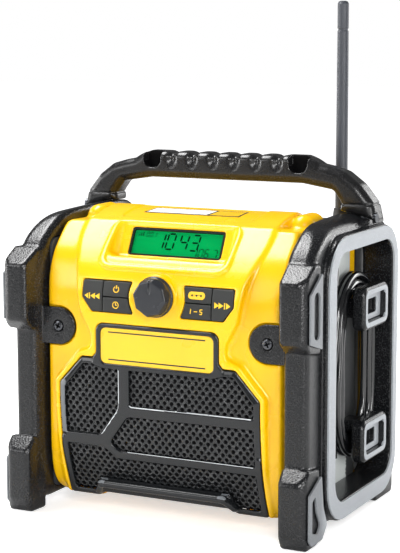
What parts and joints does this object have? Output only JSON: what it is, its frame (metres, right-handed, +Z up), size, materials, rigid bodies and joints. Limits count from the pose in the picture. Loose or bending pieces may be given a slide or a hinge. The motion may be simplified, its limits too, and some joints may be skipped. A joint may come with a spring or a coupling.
{
  "type": "jobsite radio",
  "caption": "Rugged portable radio in a roll cage, with a carry handle, rod antenna, tilted display, tuning knob, speaker grille and a mains lead on side cleats.",
  "frame": {"origin": "on the floor under the middle of the radio, between the cage's feet, cord left out", "axes": "+X to the radio's left side, the viewer's right, +Y to the back, +Z up; the display and knob face -Y"},
  "size_m": [0.2842, 0.209, 0.4333],
  "materials": {
    "yellow_shell": "gloss",
    "black_shell": "satin",
    "cage_black": "fine grain",
    "pale_trim": "fine grain",
    "panel_grey": "satin",
    "grille_black": "satin",
    "badge_yellow": "gloss",
    "label_print": "gloss",
    "lens_clear": "clear",
    "lcd_green": "backlit",
    "board_green": "solder mask",
    "key_grey": "satin",
    "knob_grey": "satin",
    "steel": "plated",
    "brass_pins": "bright",
    "part_black": "moulded",
    "cone_black": "paper",
    "magnet_iron": "painted",
    "aluminium": "extruded",
    "seal_rubber": "soft",
    "lead_rubber": "soft"
  },
  "bodies": {
    "radio": {"front_housing": "yellow_shell", "rear_cover": "black_shell", "housing_seal": "seal_rubber", "cover_screws": "steel", "left_side_frame": "cage_black", "right_side_frame": "cage_black", "left_frame_trim": "pale_trim", "right_frame_trim": "pale_trim", "tab_screws": "steel", "left_side_panel": "panel_grey", "right_side_panel": "panel_grey", "upper_cord_cleat": "cage_black", "lower_cord_cleat": "cage_black", "cleat_trim": "pale_trim", "carry_handle": "cage_black", "handle_screws": "steel", "speaker_grille": "grille_black", "grille_mesh": "grille_black", "badge_plate": "badge_yellow", "top_label": "label_print", "display_lens": "lens_clear", "lcd_module": "lcd_green", "display_board": "board_green", "key_board": "board_green", "tactile_switches": "part_black", "rotary_encoder": "steel", "left_speaker_basket": "black_shell", "left_speaker_cone": "cone_black", "left_speaker_magnet": "magnet_iron", "right_speaker_basket": "black_shell", "right_speaker_cone": "cone_black", "right_speaker_magnet": "magnet_iron", "speaker_screws": "steel", "main_board": "board_green", "board_parts": "part_black", "heat_sink": "aluminium", "mains_transformer": "magnet_iron", "battery_bay": "black_shell", "battery_terminals": "part_black", "aux_socket": "steel", "door_hinge_pin": "steel", "door_seal": "seal_rubber", "antenna_base": "part_black", "cord_gland": "part_black", "mains_lead": "lead_rubber", "cord_winding": "lead_rubber", "plug_tail": "lead_rubber", "mains_plug": "lead_rubber", "plug_pins": "brass_pins"},
    "tuning_knob": {"tuning_knob": "knob_grey", "encoder_shaft": "steel"},
    "skip_back_key": {"skip_back_key": "key_grey"},
    "power_key": {"power_key": "key_grey"},
    "clock_key": {"clock_key": "key_grey"},
    "mode_key": {"mode_key": "key_grey"},
    "preset_key": {"preset_key": "key_grey"},
    "skip_forward_key": {"skip_forward_key": "key_grey"},
    "antenna": {"antenna_mast": "cage_black"},
    "storage_door": {"storage_door": "panel_grey"},
    "door_latch": {"door_latch": "cage_black"}
  },
  "joints": [
    {"name": "knob_turn", "type": "hinge", "parent": "radio", "child": "tuning_knob", "pos_m": [0, -0.0875, 0.194], "axis": [0, -1, 0], "continuous": true},
    {"name": "skip_back_press", "type": "slide", "parent": "radio", "child": "skip_back_key", "axis": [0, 1, 0], "range_m": [0, 0.001], "stiffness_N_per_m": 800},
    {"name": "power_press", "type": "slide", "parent": "radio", "child": "power_key", "axis": [0, 1, 0], "range_m": [0, 0.001], "stiffness_N_per_m": 800},
    {"name": "clock_press", "type": "slide", "parent": "radio", "child": "clock_key", "axis": [0, 1, 0], "range_m": [0, 0.001], "stiffness_N_per_m": 800},
    {"name": "mode_press", "type": "slide", "parent": "radio", "child": "mode_key", "axis": [0, 1, 0], "range_m": [0, 0.001], "stiffness_N_per_m": 800},
    {"name": "preset_press", "type": "slide", "parent": "radio", "child": "preset_key", "axis": [0, 1, 0], "range_m": [0, 0.001], "stiffness_N_per_m": 800},
    {"name": "skip_forward_press", "type": "slide", "parent": "radio", "child": "skip_forward_key", "axis": [0, 1, 0], "range_m": [0, 0.001], "stiffness_N_per_m": 800},
    {"name": "antenna_turn", "type": "hinge", "parent": "radio", "child": "antenna", "pos_m": [0.092, 0.0859, 0.25], "axis": [0, 0, 1], "continuous": true},
    {"name": "door_swing", "type": "hinge", "parent": "radio", "child": "storage_door", "pos_m": [-0.1166, 0.0159, 0.06], "axis": [0, -1, 0], "range_deg": [0, 95]},
    {"name": "latch_slide", "type": "slide", "parent": "storage_door", "child": "door_latch", "axis": [0, 0, -1], "range_m": [0, 0.004], "stiffness_N_per_m": 150, "springref_m": -0.002}
  ]
}
